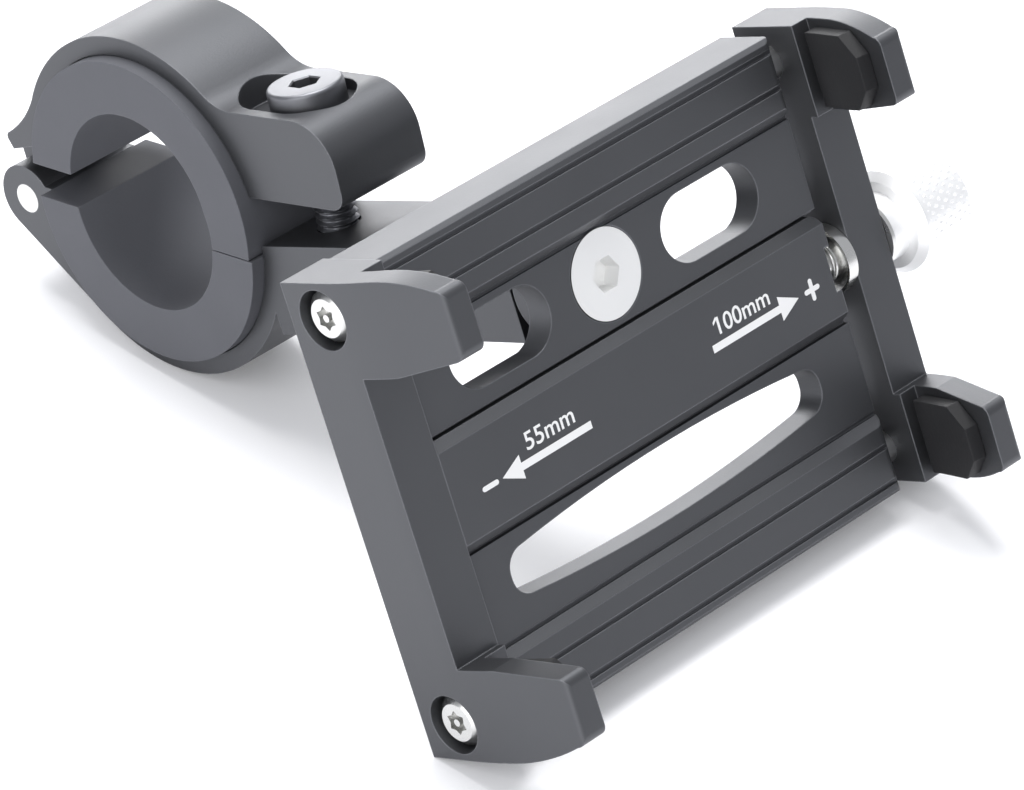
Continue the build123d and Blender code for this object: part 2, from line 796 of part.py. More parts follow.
def make_pad(outer, inner, side):
    """A rubber pad that lines the inside of a hook, with its two tip corners cut off."""
    near = hook_wall + pad_gap
    far = near + pad_thick
    start = root_distance + pad_start
    stop = hook_end - pad_end
    outside = half_jaw - pad_margin

    def at(inward, distance):
        return place(outer, inner, hook_line(inward, distance))

    with BuildPart() as pad:
        with BuildSketch(level(side * outside)):
            with BuildLine():
                ThreePointArc(at(near, start), at(near, (start + hook_arc) / 2), at(near, hook_arc))
                Polyline(at(near, hook_arc), at(near, stop), at(far, stop), at(far, hook_arc))
                ThreePointArc(at(far, hook_arc), at(far, (start + hook_arc) / 2), at(far, start))
                Line(at(far, start), at(near, start))
            make_face()
        extrude(amount=side * (hook_width - 2 * pad_margin))
        ends = face(0)
        tips = pad.faces().sort_by(lambda f: ends.to_local_coords(f.center()).Z)[-1].edges()
        short = tips.sort_by(lambda e: e.length)[:2]
        chamfer(short, pad_corner)
    return pad


# ---- drive
def make_lead_screw():
    with BuildPart() as lead_screw:
        with BuildSketch(section(screw_left)):
            with Locations((0, screw_depth)):
                Circle(screw_r)
        extrude(amount=drum_left + drum_length - knob_end_wall - screw_left)
        chamfer(lead_screw.edges().group_by(Axis.X)[0], screw_r * 0.15)
        with BuildSketch(knob_pin_plane):
            Circle(knob_pin_r)
        extrude(amount=drum_r, both=True, mode=Mode.SUBTRACT)
    return lead_screw


def make_thrust_collar():
    with BuildPart() as thrust_collar:
        with BuildSketch(section(sliding_inner - sliding_gap)):
            with Locations((0, screw_depth)):
                Circle(collar_r)
                Circle(screw_r, mode=Mode.SUBTRACT)
        extrude(amount=-collar_thick)
        with BuildSketch(section(sliding_inner - sliding_gap - collar_thick)):
            with Locations((0, screw_depth)):
                Circle(collar_r - collar_rim)
        extrude(amount=collar_r - collar_rim - screw_r - collar_rim, taper=45, mode=Mode.SUBTRACT)
    return thrust_collar


def make_knob_washer():
    with BuildPart() as knob_washer:
        with BuildSketch(section(sliding_outer)):
            with Locations((0, screw_depth)):
                Circle(bush_r)
                Circle(screw_r + flange_gap, mode=Mode.SUBTRACT)
        extrude(amount=bush_thick)
    return knob_washer


def make_adjuster_knob():
    """Turned knob: hub, flange and drum, drilled for the lead screw and its cross pin."""
    with BuildPart() as adjuster_knob:
        for left, radius, width in ((hub_left, hub_r, hub_length), (flange_left, flange_r, flange_thick),
                                    (drum_left, drum_r, drum_length)):
            with BuildSketch(section(left)):
                with Locations((0, screw_depth)):
                    Circle(radius)
            extrude(amount=width)
        chamfer(adjuster_knob.edges().group_by(Axis.X)[-1], drum_step)
        front = [edge for edge in adjuster_knob.edges().filter_by(GeomType.CIRCLE)
                 if edge.radius > flange_r - 0.01 and edge.center().X < flange_left + 0.01]
        chamfer(front, flange_thick * 0.9)
        with BuildSketch(section(hub_left)):
            with Locations((0, screw_depth)):
                Circle(screw_r)
        extrude(amount=drum_left + drum_length - knob_end_wall - hub_left, mode=Mode.SUBTRACT)
        with BuildSketch(knob_pin_plane):
            Circle(knob_pin_r)
        extrude(amount=drum_r, both=True, mode=Mode.SUBTRACT)
    return adjuster_knob


def make_knob_pin():
    with BuildPart() as knob_pin:
        with BuildSketch(knob_pin_plane):
            Circle(knob_pin_r)
        extrude(amount=drum_r - knob_pin_inset, both=True)
    return knob_pin


hub_left = sliding_outer + bush_thick + flange_gap
flange_left = hub_left + hub_length
drum_left = flange_left + flange_thick
knob_centre = section(drum_left + drum_length / 2).from_local_coords(Vector(0, screw_depth, 0))
knob_pin_plane = Plane(origin=knob_centre, x_dir=across, z_dir=up)

finish(make_clamp_base(), "clamp_base")
finish(make_clamp_cap(), "clamp_cap")
finish(make_hinge_pin(), "hinge_pin")
finish(make_clamp_bolt(), "clamp_bolt")
finish(make_liner_lower(), "liner_lower")
finish(make_liner_upper(), "liner_upper")
finish(make_swivel_screw(), "swivel_screw")
finish(make_swivel_washer(), "swivel_washer")
finish(make_cradle_plate(), "cradle_plate")
finish(make_screw_cover(), "screw_cover")
finish(make_cover_screws(), "cover_screws")
finish(make_lead_nut(), "lead_nut")
finish(make_fixed_jaw(), "fixed_jaw")
finish(make_fixed_jaw_screws(), "fixed_jaw_screws")
finish(make_sliding_jaw(), "sliding_jaw")
for side, word in ((1, "upper"), (-1, "lower")):
    finish(make_guide_rod(side), f"guide_rod_{word}")
    finish(make_pad(fixed_outer, plate_left, side), f"fixed_pad_{word}")
    finish(make_pad(sliding_outer, sliding_inner, side), f"sliding_pad_{word}")
finish(make_lead_screw(), "lead_screw")
finish(make_thrust_collar(), "thrust_collar")
finish(make_knob_washer(), "knob_washer")
finish(make_adjuster_knob(), "adjuster_knob")
finish(make_knob_pin(), "knob_pin")
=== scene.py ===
import json
import math
import bmesh
import bpy
from mathutils import Matrix, Vector


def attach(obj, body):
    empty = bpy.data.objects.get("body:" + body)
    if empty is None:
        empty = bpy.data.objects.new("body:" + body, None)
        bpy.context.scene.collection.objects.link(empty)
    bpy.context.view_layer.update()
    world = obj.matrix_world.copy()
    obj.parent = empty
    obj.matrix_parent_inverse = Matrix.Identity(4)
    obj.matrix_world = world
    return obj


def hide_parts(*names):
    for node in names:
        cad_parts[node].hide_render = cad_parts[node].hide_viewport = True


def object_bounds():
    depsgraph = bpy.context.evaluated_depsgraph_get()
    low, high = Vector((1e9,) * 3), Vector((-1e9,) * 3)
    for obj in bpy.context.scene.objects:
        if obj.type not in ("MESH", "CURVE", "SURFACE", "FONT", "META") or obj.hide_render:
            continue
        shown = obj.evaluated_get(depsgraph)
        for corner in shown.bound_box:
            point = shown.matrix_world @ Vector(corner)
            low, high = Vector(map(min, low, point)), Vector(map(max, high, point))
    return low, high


bl_info = {
    "name": "Phone handlebar mount",
    "version": (1, 0, 0),
    "blender": (4, 5, 0),
    "location": "View3D > Sidebar > Mount",
    "description": "Dresses the packed phone handlebar mount with its finishes and fine detail",
    "category": "Object",
}

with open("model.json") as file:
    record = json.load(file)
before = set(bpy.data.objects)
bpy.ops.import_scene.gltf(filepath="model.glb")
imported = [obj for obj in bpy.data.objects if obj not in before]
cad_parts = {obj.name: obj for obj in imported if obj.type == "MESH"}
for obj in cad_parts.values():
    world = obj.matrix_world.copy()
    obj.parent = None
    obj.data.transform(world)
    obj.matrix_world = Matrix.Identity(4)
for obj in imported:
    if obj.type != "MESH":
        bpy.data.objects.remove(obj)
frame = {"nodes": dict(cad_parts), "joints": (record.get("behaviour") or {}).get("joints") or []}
loaded_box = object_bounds()

MM = 0.001


# ---- the object's own directions and axes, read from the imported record
def joint_named(name):
    """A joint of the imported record, by its name."""
    for joint in frame["joints"]:
        if joint["name"] == name:
            return joint
    raise ValueError(f"the record has no joint named {name}")


def joint_place(name):
    """A point on the axis of a joint that turns."""
    return Vector(joint_named(name)["pos_m"])


def joint_axis(name):
    """The axis that a joint turns about, or the way that it slides."""
    return Vector(joint_named(name)["axis"]).normalized()


# along the bar and the lead screw, out of the plate towards the phone, and up the plate
ACROSS = Vector((1, 0, 0))
OUT = joint_axis("plate_swivel")
UP = OUT.cross(ACROSS)


# ---- sizes and colours
def linear(hex_colour):
    """A hex sRGB colour as the linear RGB that shaders take."""
    values = [int(hex_colour[i:i + 2], 16) / 255 for i in (1, 3, 5)]
    return tuple(v / 12.92 if v <= 0.04045 else ((v + 0.055) / 1.055) ** 2.4 for v in values)


class MountSizes(bpy.types.PropertyGroup):
    knurl_height: bpy.props.FloatProperty(
        name="Knurl height", description="Height of the knob's diamonds over their valleys",
        default=0.2 * MM, unit="LENGTH", precision=5)
    knurl_rows: bpy.props.IntProperty(
        name="Knurl rows", description="Diamonds round the knob's drum", default=36)
    knurl_slope: bpy.props.FloatProperty(
        name="Knurl diamonds per mm", description="Diamonds on each millimetre along the knob's drum",
        default=0.62)
    knurl_margin: bpy.props.FloatProperty(
        name="Knurl margin", description="Plain band between the knob's flange and its knurl",
        default=0.55 * MM, unit="LENGTH", precision=5)
    thread_pitch: bpy.props.FloatProperty(
        name="Thread pitch", description="Length of one turn of the lead screw's and the clamp bolt's thread",
        default=0.8 * MM, unit="LENGTH", precision=5)
    thread_depth: bpy.props.FloatProperty(
        name="Thread depth", description="Depth of the threads from their crest to their root",
        default=0.42 * MM, unit="LENGTH", precision=5)
    bolt_head: bpy.props.FloatProperty(
        name="Bolt head radius", description="Radius of the clamp bolt's head",
        default=4.35 * MM, unit="LENGTH", precision=5)
    bolt_edge: bpy.props.FloatProperty(
        name="Bolt head rounding", description="Rounding of the upper edge of the clamp bolt's head",
        default=0.45 * MM, unit="LENGTH", precision=5)
    bolt_hex: bpy.props.FloatProperty(
        name="Bolt hex", description="Half the width across the flats of the clamp bolt's socket",
        default=1.5 * MM, unit="LENGTH", precision=5)
    mark_height: bpy.props.FloatProperty(
        name="Figure height", description="Height of the figures on the strip",
        default=2.0 * MM, unit="LENGTH", precision=5)
    mark_line: bpy.props.FloatProperty(
        name="Arrow line", description="Width of the shafts of the strip's arrows",
        default=0.85 * MM, unit="LENGTH", precision=5)
    mark_level: bpy.props.FloatProperty(
        name="Arrow level", description="How far the arrows lie below the strip's centre line",
        default=0.8 * MM, unit="LENGTH", precision=5)


class MountColours(bpy.types.PropertyGroup):
    black: bpy.props.FloatVectorProperty(
        name="Anodised aluminium", description="Colour of the clamp, the plate, the strip and the jaws",
        default=linear("#57585b"), subtype="COLOR", min=0.0, max=1.0)
    rubber: bpy.props.FloatVectorProperty(
        name="Pad rubber", description="Colour of the four pads in the hooks",
        default=linear("#1e1e20"), subtype="COLOR", min=0.0, max=1.0)
    liner: bpy.props.FloatVectorProperty(
        name="Liner rubber", description="Colour of the clamp's two half liners",
        default=linear("#55565b"), subtype="COLOR", min=0.0, max=1.0)
    steel: bpy.props.FloatVectorProperty(
        name="Stainless steel", description="Colour of the screws, pins, rods, collar and lead screw",
        default=linear("#d6d6d4"), subtype="COLOR", min=0.0, max=1.0)
    zinc: bpy.props.FloatVectorProperty(
        name="Zinc-plated steel", description="Colour of the clamp bolt",
        default=linear("#77787c"), subtype="COLOR", min=0.0, max=1.0)
    satin: bpy.props.FloatVectorProperty(
        name="Satin steel", description="Colour of the swivel screw",
        default=linear("#f4f4f3"), subtype="COLOR", min=0.0, max=1.0)
    silver: bpy.props.FloatVectorProperty(
        name="Turned aluminium", description="Colour of the knob",
        default=linear("#fafafa"), subtype="COLOR", min=0.0, max=1.0)
    brass: bpy.props.FloatVectorProperty(
        name="Brass", description="Colour of the lead screw's nut",
        default=linear("#c8a765"), subtype="COLOR", min=0.0, max=1.0)
    nylon: bpy.props.FloatVectorProperty(
        name="Black nylon", description="Colour of the swivel's washer",
        default=linear("#26262a"), subtype="COLOR", min=0.0, max=1.0)
    ink: bpy.props.FloatVectorProperty(
        name="Laser mark", description="Colour of the figures, arrows and signs on the strip",
        default=linear("#e9e9e9"), subtype="COLOR", min=0.0, max=1.0)
    floor: bpy.props.FloatVectorProperty(
        name="Floor", description="Colour of the studio's floor",
        default=linear("#f4f4f6"), subtype="COLOR", min=0.0, max=1.0)


def colours():
    """The colours as the user has set them."""
    return bpy.context.scene.mount_colours


def sizes():
    """The sizes as the user has set them."""
    return bpy.context.scene.mount_sizes


# ---- materials
CLOUD_SIZE = 9 * MM  # the slight patches in a finish
# the width of the rounded edges that get a painted highlight, a lighter colour
EDGE_WIDTH = 0.22 * MM
HIGHLIGHT_START = 0.999  # how alike the rounded and the flat normal are where an edge's painted highlight begins to show
HIGHLIGHT_FULL = 0.93  # and where the painted highlight shows in full
ROUGHNESS_SPREAD = 0.04


def add(tree, kind, values=(), **settings):
    """Add a node with its settings, and set or link its inputs, which are given by key or in order.
    A node as a value stands for its first output."""
    node = tree.nodes.new(kind)
    for key, value in settings.items():
        setattr(node, key, value)
    for key, value in values.items() if isinstance(values, dict) else enumerate(values):
        if isinstance(value, bpy.types.Node):
            value = value.outputs[0]
        if isinstance(value, bpy.types.NodeSocket):
            tree.links.new(value, node.inputs[key])
        else:
            node.inputs[key].default_value = value
    return node


def blank_material(name):
    """A material whose node tree is empty, and that tree."""
    material = bpy.data.materials.new(name)
    material.use_nodes = True
    material.node_tree.nodes.clear()
    return material, material.node_tree


def shade(colour, share):
    """A linear colour made lighter by a share, or darker by a negative one, with its alpha."""
    return tuple(min(1.0, v * (1 + share)) for v in colour) + (1.0,)


def finish_material(name, colour, metallic, roughness, grain, grain_depth, mottle, edge=0.0, specular=0.5):
    """One finish: a colour with slight patches, a grain in its bump, and a painted highlight that lightens
    its edges.
    The grain's size and depth are in mm. It is drawn coarser than the real one, which is too fine to show."""
    material, tree = blank_material(name)
    place = add(tree, "ShaderNodeTexCoord").outputs["Object"]
    cloud = add(tree, "ShaderNodeTexNoise", {"Vector": place, "Scale": 1 / CLOUD_SIZE, "Detail": 3.0})
    fine = add(tree, "ShaderNodeTexNoise", {"Vector": place, "Scale": 1 / (grain * MM), "Detail": 2.0,
                                            "Roughness": 0.6})
    # a Mix node of colours takes them at its inputs 6 and 7 and gives the mixed one at its output 2
    coat = add(tree, "ShaderNodeMix", {0: cloud.outputs["Fac"], 6: shade(colour, -mottle),
                                       7: shade(colour, mottle)}, data_type="RGBA").outputs[2]
    bump = add(tree, "ShaderNodeBump", {"Height": fine.outputs["Fac"], "Strength": 0.6,
                                        "Distance": grain_depth * MM})
    # painted highlight: where the rounded normal turns from the flat one, the colour is lightened by the edge
    # share
    if edge:
        rounded = add(tree, "ShaderNodeBevel", {"Radius": EDGE_WIDTH}, samples=4)
        tree.links.new(rounded.outputs["Normal"], bump.inputs["Normal"])
        flat = add(tree, "ShaderNodeNewGeometry").outputs["True Normal"]
        alike = add(tree, "ShaderNodeVectorMath", (rounded, flat), operation="DOT_PRODUCT").outputs["Value"]
        edge_highlight = add(tree, "ShaderNodeMapRange", (alike, HIGHLIGHT_START, HIGHLIGHT_FULL, 0.0, 1.0))
        coat = add(tree, "ShaderNodeMix", {0: edge_highlight, 6: coat, 7: shade(colour, edge)},
                   data_type="RGBA").outputs[2]
    rough = add(tree, "ShaderNodeMapRange", (cloud.outputs["Fac"], 0.0, 1.0, roughness - ROUGHNESS_SPREAD,
                                             roughness + ROUGHNESS_SPREAD))
    shader = add(tree, "ShaderNodeBsdfPrincipled", {"Base Color": coat, "Metallic": metallic,
                                                    "Roughness": rough, "Specular IOR Level": specular,
                                                    "Normal": bump})
    add(tree, "ShaderNodeOutputMaterial", {"Surface": shader})
    return material


# ---- placing and measuring
def plain_mesh(name, tree, values, place):
    """Evaluate a geometry tree with the given inputs and return it as a placed plain mesh object."""
    empty = bpy.data.meshes.new(name)
    carrier = bpy.data.objects.new(name, empty)
    bpy.context.scene.collection.objects.link(carrier)
    modifier = carrier.modifiers.new(name, "NODES")
    modifier.node_group = tree
    for item in tree.interface.items_tree:
        if item.in_out == "INPUT":
            modifier[item.identifier] = values[item.name]
    depsgraph = bpy.context.evaluated_depsgraph_get()
    mesh = bpy.data.meshes.new_from_object(carrier.evaluated_get(depsgraph))
    carrier.modifiers.remove(modifier)
    carrier.data = mesh
    mesh.name = name
    mesh.transform(place)
    bpy.data.meshes.remove(empty)
    return carrier


def axis_place(origin, axis):
    """The matrix that takes +X to an axis and the origin to a point on it."""
    side = axis.cross(UP if abs(axis.dot(UP)) < 0.9 else ACROSS).normalized()
    third = axis.cross(side)
    return Matrix.Translation(origin) @ Matrix((axis, side, third)).transposed().to_4x4()


def rings(name, origin, axis):
    """Each vertex of a carried-over node as its distance from an axis and its place along it."""
    offsets = [vertex.co - origin for vertex in frame["nodes"][name].data.vertices]
    return [(offset.cross(axis).length, offset.dot(axis)) for offset in offsets]


def reach_along(name, origin, axis):
    """How far a carried-over node reaches along an axis, as (low, high) from the origin."""
    places = [along for radius, along in rings(name, origin, axis)]
    return min(places), max(places)


def centre_line(name, axis):
    """The point on a round node's own axis that is nearest the origin."""
    side = axis.orthogonal().normalized()
    centre = Vector((0, 0, 0))
    for across in (side, axis.cross(side)):
        low, high = reach_along(name, Vector((0, 0, 0)), across)
        centre += across * (low + high) / 2
    return centre


# ---- finishes of the carried-over pieces
BLACK_PARTS = ("clamp_base", "clamp_cap", "cradle_plate", "screw_cover", "fixed_jaw", "sliding_jaw")
STEEL_PARTS = ("hinge_pin", "clamp_bolt", "cover_screws", "fixed_jaw_screws", "guide_rod_upper",
               "guide_rod_lower", "knob_washer", "knob_pin", "lead_screw", "thrust_collar")
PAD_PARTS = ("fixed_pad_upper", "fixed_pad_lower", "sliding_pad_upper", "sliding_pad_lower")


def dress(nodes, material):
    """Give carried-over CAD nodes a finish."""
    for name in nodes:
        mesh = frame["nodes"][name].data
        mesh.materials.clear()
        mesh.materials.append(material)


class MOUNT_OT_finishes(bpy.types.Operator):
    """Give every carried-over piece its finish"""
    bl_idname = "mount.finishes"
    bl_label = "Finish the metal and rubber pieces"

    def execute(self, context):
        colour = colours()
        # bead-blasted black anodised aluminium: dark, broad soft highlights, and a painted highlight that
        # lightens its edges
        black = finish_material("bead-blasted black anodised aluminium", colour.black, metallic=0.85,
                                roughness=0.47, grain=0.25, grain_depth=0.02, mottle=0.05, edge=0.9)
        # machined stainless steel: bright, with a faint turned grain
        steel = finish_material("machined stainless steel", colour.steel, metallic=1.0, roughness=0.28,
                                grain=0.18, grain_depth=0.004, mottle=0.03)
        # moulded rubber: near black, with no highlight to speak of beyond a faint painted highlight on its
        # edges
        rubber = finish_material("moulded black rubber", colour.rubber, metallic=0.0, roughness=0.62,
                                 grain=0.4, grain_depth=0.03, mottle=0.08, edge=0.5, specular=0.35)
        # the same rubber, dusty with bloom: a lighter, flatter grey, with a faint painted highlight on its
        # edges
        liner = finish_material("bloomed black rubber", colour.liner, metallic=0.0, roughness=0.7,
                                grain=0.5, grain_depth=0.03, mottle=0.1, edge=0.4, specular=0.3)
        # satin-ground steel: pale and even, with no sharp reflection
        satin = finish_material("satin stainless steel", colour.satin, metallic=0.7, roughness=0.42,
                                grain=0.15, grain_depth=0.004, mottle=0.02)
        # zinc-plated steel: greyer than the stainless screws, with a soft sheen
        finish_material("zinc-plated steel", colour.zinc, metallic=1.0, roughness=0.46,
                        grain=0.2, grain_depth=0.012, mottle=0.12)
        # machined brass: a warm yellow metal
        brass = finish_material("machined brass", colour.brass, metallic=1.0, roughness=0.3,
                                grain=0.2, grain_depth=0.005, mottle=0.04)
        # nylon: dark, with a dull plastic sheen
        nylon = finish_material("black nylon", colour.nylon, metallic=0.0, roughness=0.5,
                                grain=0.3, grain_depth=0.01, mottle=0.04)
        # turned aluminium: nearly white, with a soft band of light round it
        silver = finish_material("turned aluminium", colour.silver, metallic=0.5, roughness=0.38,
                                 grain=0.15, grain_depth=0.004, mottle=0.02)
        dress(BLACK_PARTS, black)
        dress(STEEL_PARTS, steel)
        dress(PAD_PARTS, rubber)
        dress(("liner_lower", "liner_upper"), liner)
        dress(("swivel_screw",), satin)
        dress(("lead_nut",), brass)
        dress(("swivel_washer",), nylon)
        dress(("adjuster_knob",), silver)
        return {"FINISHED"}


# ---- geometry trees of the threads and the knurl
MATH = "ShaderNodeMath"
WELD = 0.001 * MM  # points closer than this become one, which closes the seam
ROOT_GAIN = 1.25  # how much steeper the thread is than a plain zigzag, which leaves its root a little flat


def new_tree(name, numbers, lengths):
    """A geometry tree with its inputs declared, and the sockets that give them."""
    tree = bpy.data.node_groups.new(name, "GeometryNodeTree")
    kinds = [(key, "NodeSocketInt") for key in numbers] + [(key, "NodeSocketFloat") for key in lengths]
    for key, kind in kinds + [("Material", "NodeSocketMaterial")]:
        tree.interface.new_socket(key, in_out="INPUT", socket_type=kind)
    tree.interface.new_socket("Geometry", in_out="OUTPUT", socket_type="NodeSocketGeometry")
    return tree, add(tree, "NodeGroupInput").outputs


def round_grid(tree, inputs):
    """A grid to be wrapped round +X: its mesh, each point's column, the last column, the share of a turn."""
    steps = add(tree, MATH, (inputs["Columns"], 1.0), operation="SUBTRACT")
    grid = add(tree, "GeometryNodeMeshGrid", {"Size X": 1.0, "Size Y": 1.0, "Vertices X": inputs["Columns"],
                                              "Vertices Y": inputs["Sides"]})
    point = add(tree, "ShaderNodeSeparateXYZ", (add(tree, "GeometryNodeInputPosition"),))
    share = add(tree, MATH, (point.outputs["X"], 0.5), operation="ADD")
    column = add(tree, MATH, (share, steps), operation="MULTIPLY")
    turn = add(tree, MATH, (point.outputs["Y"], 0.5), operation="ADD")
    return grid, column, steps, turn


def share_along(tree, column, steps, closing):
    """A column's place from 0 to 1 along the form. Columns that close its ends stay at 0 or 1."""
    first = add(tree, MATH, (column, 1.0), operation="SUBTRACT")
    last = add(tree, MATH, (steps, closing), operation="SUBTRACT")
    return add(tree, MATH, (first, last), operation="DIVIDE", use_clamp=True)


def before_last(tree, column, steps, spare):
    """1 in the columns that lie more than the spare before the last one, and 0 in the rest."""
    limit = add(tree, MATH, (steps, spare), operation="SUBTRACT")
    return add(tree, MATH, (column, limit), operation="LESS_THAN")


def outer_side(tree, column, steps, spare):
    """1 in the columns of the outer side, and 0 in the first column and in those that end the form."""
    begun = add(tree, MATH, (column, 0.5), operation="GREATER_THAN")
    return add(tree, MATH, (begun, before_last(tree, column, steps, spare)), operation="MULTIPLY")


def zigzag(tree, value):
    """A wave that falls from 1 to 0 and rises to 1 again over each whole step of a value."""
    phase = add(tree, MATH, (value,), operation="FRACT")
    slope = add(tree, MATH, (phase, 2.0, -1.0), operation="MULTIPLY_ADD")
    return add(tree, MATH, (slope,), operation="ABSOLUTE")


def wrap(tree, mesh, along, radius, turn, inputs):
    """Wrap the grid round +X, weld its seam, and send it out as real triangles with its finish."""
    angle = add(tree, MATH, (turn, -math.tau), operation="MULTIPLY")
    cosine = add(tree, MATH, (angle,), operation="COSINE")
    sine = add(tree, MATH, (angle,), operation="SINE")
    across = add(tree, MATH, (radius, cosine), operation="MULTIPLY")
    above = add(tree, MATH, (radius, sine), operation="MULTIPLY")
    place = add(tree, "ShaderNodeCombineXYZ", {"X": along, "Y": across, "Z": above})
    moved = add(tree, "GeometryNodeSetPosition", {"Geometry": mesh, "Position": place})
    welded = add(tree, "GeometryNodeMergeByDistance", {"Geometry": moved, "Distance": WELD})
    real = add(tree, "GeometryNodeRealizeInstances", {"Geometry": welded})
    dressed = add(tree, "GeometryNodeSetMaterial", {"Geometry": real, "Material": inputs["Material"]})
    add(tree, "NodeGroupOutput", (dressed,))


def thread_tree():
    """A round rod from the origin along +X: a helical thread, then a plain stretch, with closed ends."""
    tree, inputs = new_tree("threaded rod", ("Columns", "Sides"),
                            ("Length", "Plain", "Crest", "Depth", "Pitch"))
    mesh, column, steps, turn = round_grid(tree, inputs)
    share = share_along(tree, column, steps, 2.0)
    along = add(tree, MATH, (share, inputs["Length"]), operation="MULTIPLY")
    turns = add(tree, MATH, (along, inputs["Pitch"]), operation="DIVIDE")
    helix = add(tree, MATH, (turns, turn), operation="SUBTRACT")
    cut = add(tree, MATH, (zigzag(tree, helix), ROOT_GAIN), operation="MULTIPLY", use_clamp=True)
    # the thread runs out over one turn before the plain stretch
    cut_length = add(tree, MATH, (inputs["Length"], inputs["Plain"]), operation="SUBTRACT")
    left = add(tree, MATH, (cut_length, along), operation="SUBTRACT")
    fade = add(tree, MATH, (left, inputs["Pitch"]), operation="DIVIDE", use_clamp=True)
    faded = add(tree, MATH, (cut, fade), operation="MULTIPLY")
    depth = add(tree, MATH, (inputs["Depth"], faded), operation="MULTIPLY")
    threaded = add(tree, MATH, (inputs["Crest"], depth), operation="SUBTRACT")
    # the tip is chamfered down to the root
    root = add(tree, MATH, (inputs["Crest"], inputs["Depth"]), operation="SUBTRACT")
    chamfer = add(tree, MATH, (root, along), operation="ADD")
    radius = add(tree, MATH, (threaded, chamfer), operation="MINIMUM")
    # the first and the last column lie on the axis, which closes the ends
    closed = add(tree, MATH, (radius, outer_side(tree, column, steps, 0.5)), operation="MULTIPLY")
    wrap(tree, mesh, along, closed, turn, inputs)
    return tree


def knurl_tree():
    """A closed sleeve from the origin along +X whose outer side is cut into diamonds by two helices."""
    tree, inputs = new_tree("diamond knurl", ("Columns", "Sides", "Diamonds"),
                            ("Length", "Radius", "Height", "Slope", "Sink"))
    mesh, column, steps, turn = round_grid(tree, inputs)
    share = share_along(tree, column, steps, 3.0)
    outward = add(tree, MATH, (share, inputs["Length"]), operation="MULTIPLY")
    # the last column comes back to the first, which closes the sleeve
    along = add(tree, MATH, (outward, before_last(tree, column, steps, 0.5)), operation="MULTIPLY")
    rows = add(tree, MATH, (turn, inputs["Diamonds"]), operation="MULTIPLY")
    lean = add(tree, MATH, (along, inputs["Slope"]), operation="MULTIPLY")
    helices = [zigzag(tree, add(tree, MATH, (rows, lean), operation=way)) for way in ("ADD", "SUBTRACT")]
    both = add(tree, MATH, helices, operation="MINIMUM")
    to_far_end = add(tree, MATH, (inputs["Length"], along), operation="SUBTRACT")
    to_end = add(tree, MATH, (along, to_far_end), operation="MINIMUM")
    fade = add(tree, MATH, (to_end, inputs["Height"]), operation="DIVIDE", use_clamp=True)
    faded = add(tree, MATH, (both, fade), operation="MULTIPLY")
    rise = add(tree, MATH, (inputs["Height"], faded), operation="MULTIPLY")
    outer = add(tree, MATH, (inputs["Radius"], rise), operation="ADD")
    inner_side = add(tree, MATH, (1.0, outer_side(tree, column, steps, 1.5)), operation="SUBTRACT")
    sunk = add(tree, MATH, (inputs["Sink"], inner_side), operation="MULTIPLY")
    radius = add(tree, MATH, (outer, sunk), operation="SUBTRACT")
    wrap(tree, mesh, along, radius, turn, inputs)
    return tree


# ---- threads
ROD_SIDES = 40
SCREW_COLUMNS = 900
BOLT_COLUMNS = 260


class MOUNT_OT_threads(bpy.types.Operator):
    """Cut the thread of the lead screw"""
    bl_idname = "mount.threads"
    bl_label = "Cut the lead screw's thread"

    def execute(self, context):
        size = sizes()
        tree = thread_tree()
        steel = bpy.data.materials["machined stainless steel"]
        origin = joint_place("knob_turn")
        low, high = reach_along("lead_screw", origin, ACROSS)
        collar = reach_along("thrust_collar", origin, ACROSS)[0]
        crest = max(radius for radius, along in rings("lead_screw", origin, ACROSS))
        screw = plain_mesh("threaded_lead_screw", tree, {
            "Columns": SCREW_COLUMNS, "Sides": ROD_SIDES, "Length": high - low, "Plain": high - collar,
            "Crest": crest, "Depth": size.thread_depth, "Pitch": size.thread_pitch, "Material": steel},
            axis_place(origin + ACROSS * low, ACROSS))
        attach(screw, "knob")
        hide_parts("lead_screw")
        return {"FINISHED"}


# ---- clamp bolt
SHANK_LIMIT = 3.5 * MM  # whatever lies farther from the bolt's axis belongs to its head
FOOT_CHAMFER = 0.1 * MM
SOCKET_CHAMFER = 0.15 * MM
SOCKET_DEPTH = 2.2 * MM
THREAD_LAP = 0.05 * MM  # how far the thread runs on into the head
EDGE_STEPS = 6
CORNER_ANGLE = math.radians(35)


def turned_solid(name, loops, place, sides=96):
    """A closed solid round +X. Each loop is its place along the axis and a radius for each direction."""
    points = []
    for along, radius in loops:
        for step in range(sides):
            angle = math.tau * step / sides
            points.append((along, radius(angle) * math.cos(angle), radius(angle) * math.sin(angle)))
    count = len(loops)
    faces = []
    for i in range(count - 1):
        for j in range(sides):
            beside = (j + 1) % sides
            faces.append((i * sides + j, i * sides + beside, (i + 1) * sides + beside, (i + 1) * sides + j))
    faces += [tuple(range(sides)), tuple((count - 1) * sides + j for j in reversed(range(sides)))]
    mesh = bpy.data.meshes.new(name)
    mesh.from_pydata(points, [], faces)
    shape = bmesh.new()
    shape.from_mesh(mesh)
    bmesh.ops.recalc_face_normals(shape, faces=shape.faces)
    shape.to_mesh(mesh)
    shape.free()
    mesh.transform(place)
    solid = bpy.data.objects.new(name, mesh)
    bpy.context.scene.collection.objects.link(solid)
    return solid


def hexagon(half_width):
    """The distance from a hexagon's centre to its edge in each direction."""
    return lambda angle: half_width / math.cos(angle % (math.pi / 3) - math.pi / 6)


def circle(radius):
    """The distance from a circle's centre to its edge in each direction."""
    return lambda angle: radius


def smooth_sides(mesh):
    """Shade a turned piece smooth, except across its corners."""
    mesh.shade_smooth()
    mesh.set_sharp_from_angle(angle=CORNER_ANGLE)


